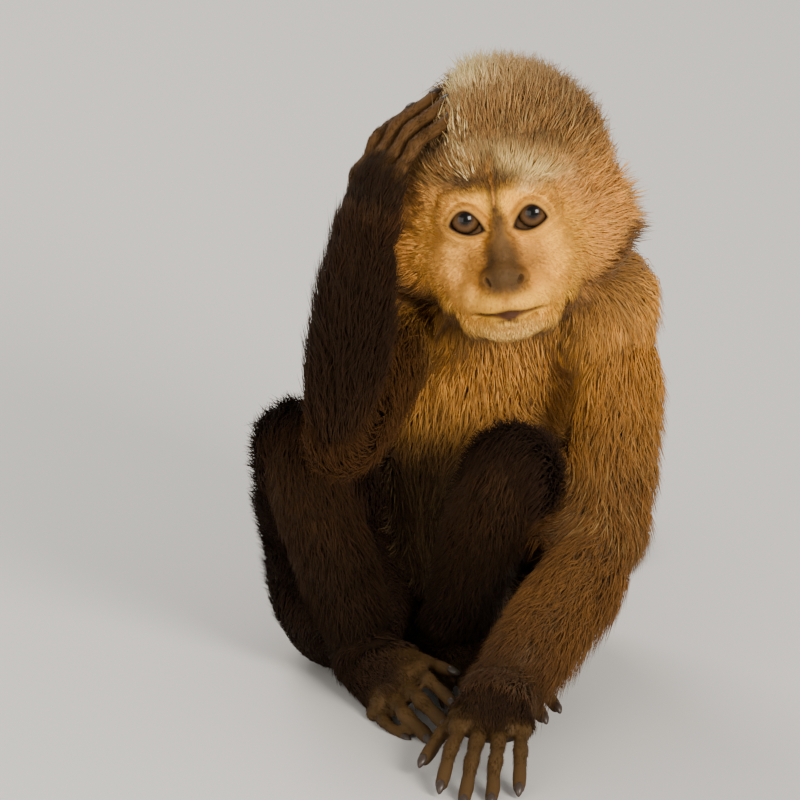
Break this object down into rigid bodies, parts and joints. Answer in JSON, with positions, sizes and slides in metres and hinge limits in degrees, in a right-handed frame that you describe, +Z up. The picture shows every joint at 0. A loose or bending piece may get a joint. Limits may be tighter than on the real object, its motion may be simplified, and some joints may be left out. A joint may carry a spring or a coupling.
{
  "type": "capuchin monkey",
  "caption": "Life-size still model of a capuchin monkey that crouches on the floor, one hand held to the side of its head and the other on the ground in front of it.",
  "frame": {"origin": "on the floor, in the middle of the flat under the rump", "axes": "+Z up, -Y the way the monkey faces, +X towards its left side"},
  "size_m": [0.1602, 0.3788, 0.2486],
  "materials": {
    "dark_coat": "dark brown fur of the legs, forearms and tail",
    "gold_coat": "golden brown fur of the trunk and upper arms",
    "face_coat": "short pale fur of the face, longer frosted brown fur on the crown",
    "bare_skin": "dark, thinly haired skin of the hands and feet, satin",
    "eye": "wet, dark brown"
  },
  "bodies": {
    "root": {"ear_l": "face_coat", "ear_r": "face_coat", "eye_l": "eye", "eye_r": "eye", "foot_l_index": "bare_skin", "foot_l_little": "bare_skin", "foot_l_middle": "bare_skin", "foot_l_palm": "bare_skin", "foot_l_ring": "bare_skin", "foot_l_thumb": "bare_skin", "foot_r_index": "bare_skin", "foot_r_little": "bare_skin", "foot_r_middle": "bare_skin", "foot_r_palm": "bare_skin", "foot_r_ring": "bare_skin", "foot_r_thumb": "bare_skin", "forearm_l": "dark_coat", "forearm_r": "dark_coat", "hand_l_index": "bare_skin", "hand_l_little": "bare_skin", "hand_l_middle": "bare_skin", "hand_l_palm": "bare_skin", "hand_l_ring": "bare_skin", "hand_l_thumb": "bare_skin", "hand_r_index": "bare_skin", "hand_r_little": "bare_skin", "hand_r_middle": "bare_skin", "hand_r_palm": "bare_skin", "hand_r_ring": "bare_skin", "hand_r_thumb": "bare_skin", "head": "face_coat", "neck": "gold_coat", "shin_l": "dark_coat", "shin_r": "dark_coat", "tail_1": "dark_coat", "tail_2": "dark_coat", "tail_3": "dark_coat", "tail_4": "dark_coat", "thigh_l": "dark_coat", "thigh_r": "dark_coat", "trunk": "gold_coat", "upper_arm_l": "gold_coat", "upper_arm_r": "gold_coat"}
  },
  "joints": []
}
